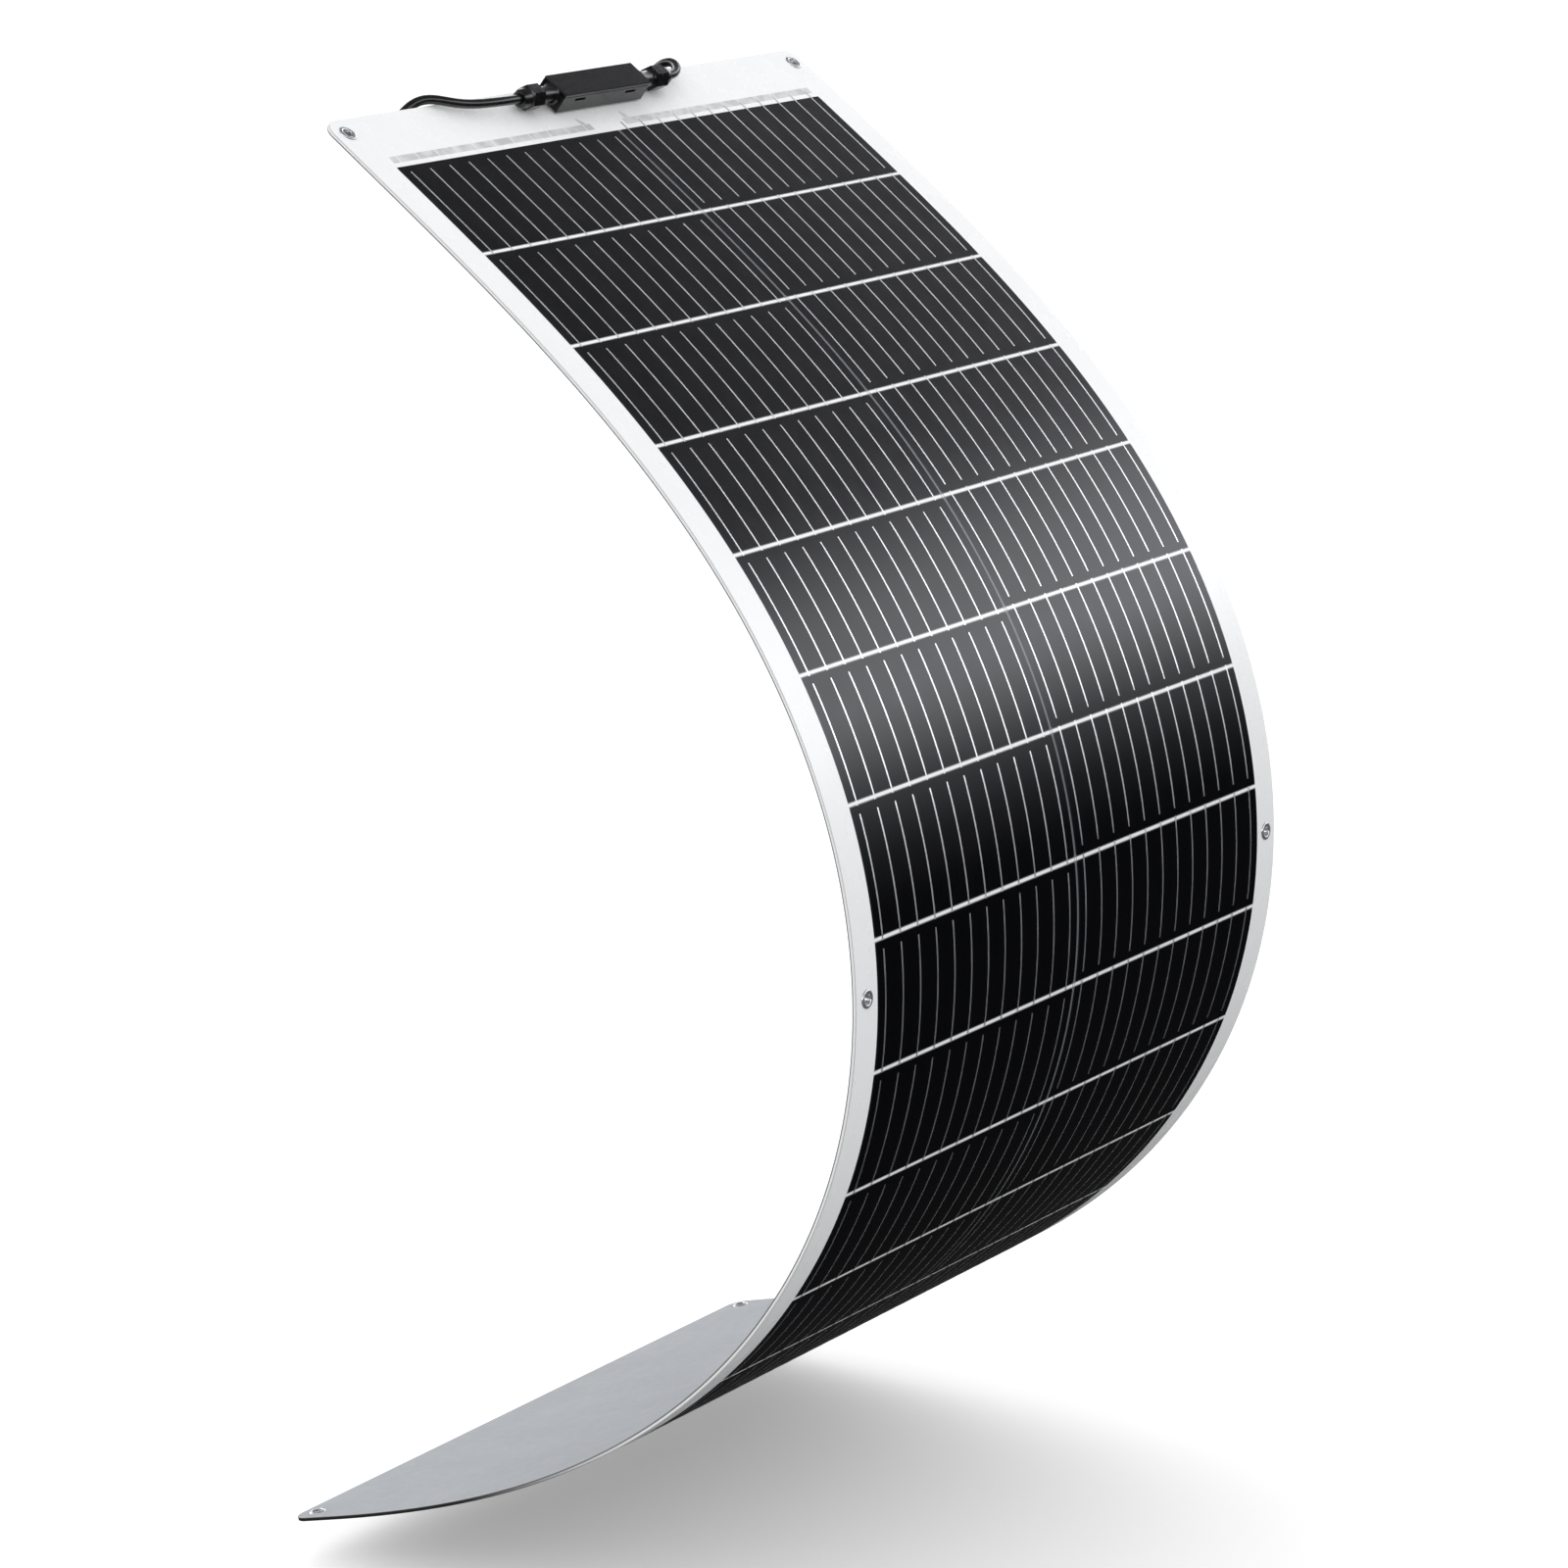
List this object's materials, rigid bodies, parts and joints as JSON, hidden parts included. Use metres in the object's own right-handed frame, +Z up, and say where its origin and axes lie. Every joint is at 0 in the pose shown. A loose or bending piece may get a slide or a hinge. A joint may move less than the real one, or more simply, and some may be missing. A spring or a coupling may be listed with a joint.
{
  "type": "flexible solar sheet",
  "caption": "Thin flexible solar sheet bent into a C, with black cells in a white laminate, eyelets along its edges, a slim junction box and two coiled leads.",
  "frame": {"origin": "midway between the centres of the two top eyelets, in the middle of the sheet's thickness", "axes": "+Z up; +Y across the sheet, towards its right edge seen from the cell side with the junction box on top; +X out through the cell side, away from the open side of the C"},
  "size_m": [0.3853, 0.465, 0.8187],
  "materials": {
    "laminate": "glossy white front film, light grey back",
    "cells": "black silicon under a clear glossy film, with silver wires",
    "tinned_copper": "tinned, satin",
    "eyelets": "stainless, polished",
    "box_plastic": "fine-grained black",
    "adhesive": "white silicone",
    "diode": "moulded epoxy",
    "seals": "matte",
    "cable_jacket": "smooth, slightly glossy",
    "connectors": "moulded black",
    "tie": "moulded black nylon"
  },
  "bodies": {
    "row_01": {"laminate_row_01": "laminate", "cell_row_01": "cells", "ribbon_top_left": "tinned_copper", "ribbon_top_right": "tinned_copper", "eyelet_top_left": "eyelets", "eyelet_top_right": "eyelets", "jbox_adhesive": "adhesive", "jbox_base": "box_plastic", "terminal_left": "tinned_copper", "terminal_right": "tinned_copper", "bypass_diode": "diode", "gland_seal_left": "seals", "gland_seal_right": "seals", "cable_left": "cable_jacket", "cable_right": "cable_jacket", "coil_left": "cable_jacket", "coil_right": "cable_jacket", "tail_left": "cable_jacket", "tail_right": "cable_jacket", "connector_left": "connectors", "connector_right": "connectors", "cable_tie": "tie"},
    "row_02": {"laminate_row_02": "laminate", "cell_row_02": "cells"},
    "row_03": {"laminate_row_03": "laminate", "cell_row_03": "cells"},
    "row_04": {"laminate_row_04": "laminate", "cell_row_04": "cells"},
    "row_05": {"laminate_row_05": "laminate", "cell_row_05": "cells"},
    "row_06": {"laminate_row_06": "laminate", "cell_row_06": "cells"},
    "row_07": {"laminate_row_07": "laminate", "cell_row_07": "cells"},
    "row_08": {"laminate_row_08": "laminate", "cell_row_08": "cells", "eyelet_middle_left": "eyelets", "eyelet_middle_right": "eyelets"},
    "row_09": {"laminate_row_09": "laminate", "cell_row_09": "cells"},
    "row_10": {"laminate_row_10": "laminate", "cell_row_10": "cells"},
    "row_11": {"laminate_row_11": "laminate", "cell_row_11": "cells"},
    "row_12": {"laminate_row_12": "laminate", "cell_row_12": "cells"},
    "row_13": {"laminate_row_13": "laminate", "cell_row_13": "cells"},
    "row_14": {"laminate_row_14": "laminate", "cell_row_14": "cells"},
    "row_15": {"laminate_row_15": "laminate", "cell_row_15": "cells", "ribbon_bottom": "tinned_copper", "eyelet_bottom_left": "eyelets", "eyelet_bottom_right": "eyelets"},
    "box_lid": {"jbox_lid": "box_plastic"},
    "left_gland_nut": {"gland_nut_left": "box_plastic"},
    "right_gland_nut": {"gland_nut_right": "box_plastic"}
  },
  "joints": [
    {"name": "bend_01", "type": "hinge", "parent": "row_01", "child": "row_02", "pos_m": [0.08283, 0, -0.05953], "axis": [0, -1, 0], "range_deg": [-0.5, 1.84]},
    {"name": "bend_02", "type": "hinge", "parent": "row_02", "child": "row_03", "pos_m": [0.14011, 0, -0.10476], "axis": [0, -1, 0], "range_deg": [-0.96, 3.67]},
    {"name": "bend_03", "type": "hinge", "parent": "row_03", "child": "row_04", "pos_m": [0.19441, 0, -0.15353], "axis": [0, -1, 0], "range_deg": [-1.47, 5.71]},
    {"name": "bend_04", "type": "hinge", "parent": "row_04", "child": "row_05", "pos_m": [0.24362, 0, -0.2074], "axis": [0, -1, 0], "range_deg": [-2, 7.86]},
    {"name": "bend_05", "type": "hinge", "parent": "row_05", "child": "row_06", "pos_m": [0.28504, 0, -0.26742], "axis": [0, -1, 0], "range_deg": [-2.53, 9.95]},
    {"name": "bend_06", "type": "hinge", "parent": "row_06", "child": "row_07", "pos_m": [0.31553, 0, -0.33362], "axis": [0, -1, 0], "range_deg": [-2.98, 11.78]},
    {"name": "bend_07", "type": "hinge", "parent": "row_07", "child": "row_08", "pos_m": [0.33195, 0, -0.4046], "axis": [0, -1, 0], "range_deg": [-3.32, 13.13]},
    {"name": "bend_08", "type": "hinge", "parent": "row_08", "child": "row_09", "pos_m": [0.33192, 0, -0.47743], "axis": [0, -1, 0], "range_deg": [-3.44, 13.77]},
    {"name": "bend_09", "type": "hinge", "parent": "row_09", "child": "row_10", "pos_m": [0.31459, 0, -0.54817], "axis": [0, -1, 0], "range_deg": [-3.47, 13.75]},
    {"name": "bend_10", "type": "hinge", "parent": "row_10", "child": "row_11", "pos_m": [0.28105, 0, -0.61281], "axis": [0, -1, 0], "range_deg": [-3.27, 12.91]},
    {"name": "bend_11", "type": "hinge", "parent": "row_11", "child": "row_12", "pos_m": [0.23396, 0, -0.66842], "axis": [0, -1, 0], "range_deg": [-2.9, 11.45]},
    {"name": "bend_12", "type": "hinge", "parent": "row_12", "child": "row_13", "pos_m": [0.1768, 0, -0.71366], "axis": [0, -1, 0], "range_deg": [-2.43, 9.55]},
    {"name": "bend_13", "type": "hinge", "parent": "row_13", "child": "row_14", "pos_m": [0.11294, 0, -0.74889], "axis": [0, -1, 0], "range_deg": [-1.9, 7.43]},
    {"name": "bend_14", "type": "hinge", "parent": "row_14", "child": "row_15", "pos_m": [0.04506, 0, -0.77564], "axis": [0, -1, 0], "range_deg": [-1.36, 5.3]},
    {"name": "lid_lift", "type": "slide", "parent": "row_01", "child": "box_lid", "axis": [0.59, 0, 0.8074], "range_m": [0, 0.03]},
    {"name": "left_nut_turn", "type": "hinge", "parent": "row_01", "child": "left_gland_nut", "pos_m": [0.00707, -0.06515, 0.00629], "axis": [0, -1, 0], "continuous": true},
    {"name": "right_nut_turn", "type": "hinge", "parent": "row_01", "child": "right_gland_nut", "pos_m": [0.00707, 0.06815, 0.00629], "axis": [0, 1, 0], "continuous": true}
  ],
  "couplings": [
    {"joint": "bend_01", "follows": "bend_08", "ratio": 0.12958},
    {"joint": "bend_02", "follows": "bend_08", "ratio": 0.26286},
    {"joint": "bend_03", "follows": "bend_08", "ratio": 0.41094},
    {"joint": "bend_04", "follows": "bend_08", "ratio": 0.56657},
    {"joint": "bend_05", "follows": "bend_08", "ratio": 0.71834},
    {"joint": "bend_06", "follows": "bend_08", "ratio": 0.85143},
    {"joint": "bend_07", "follows": "bend_08", "ratio": 0.94984},
    {"joint": "bend_09", "follows": "bend_08", "ratio": 0.9944},
    {"joint": "bend_10", "follows": "bend_08", "ratio": 0.93389},
    {"joint": "bend_11", "follows": "bend_08", "ratio": 0.82743},
    {"joint": "bend_12", "follows": "bend_08", "ratio": 0.68938},
    {"joint": "bend_13", "follows": "bend_08", "ratio": 0.53575},
    {"joint": "bend_14", "follows": "bend_08", "ratio": 0.38084}
  ]
}
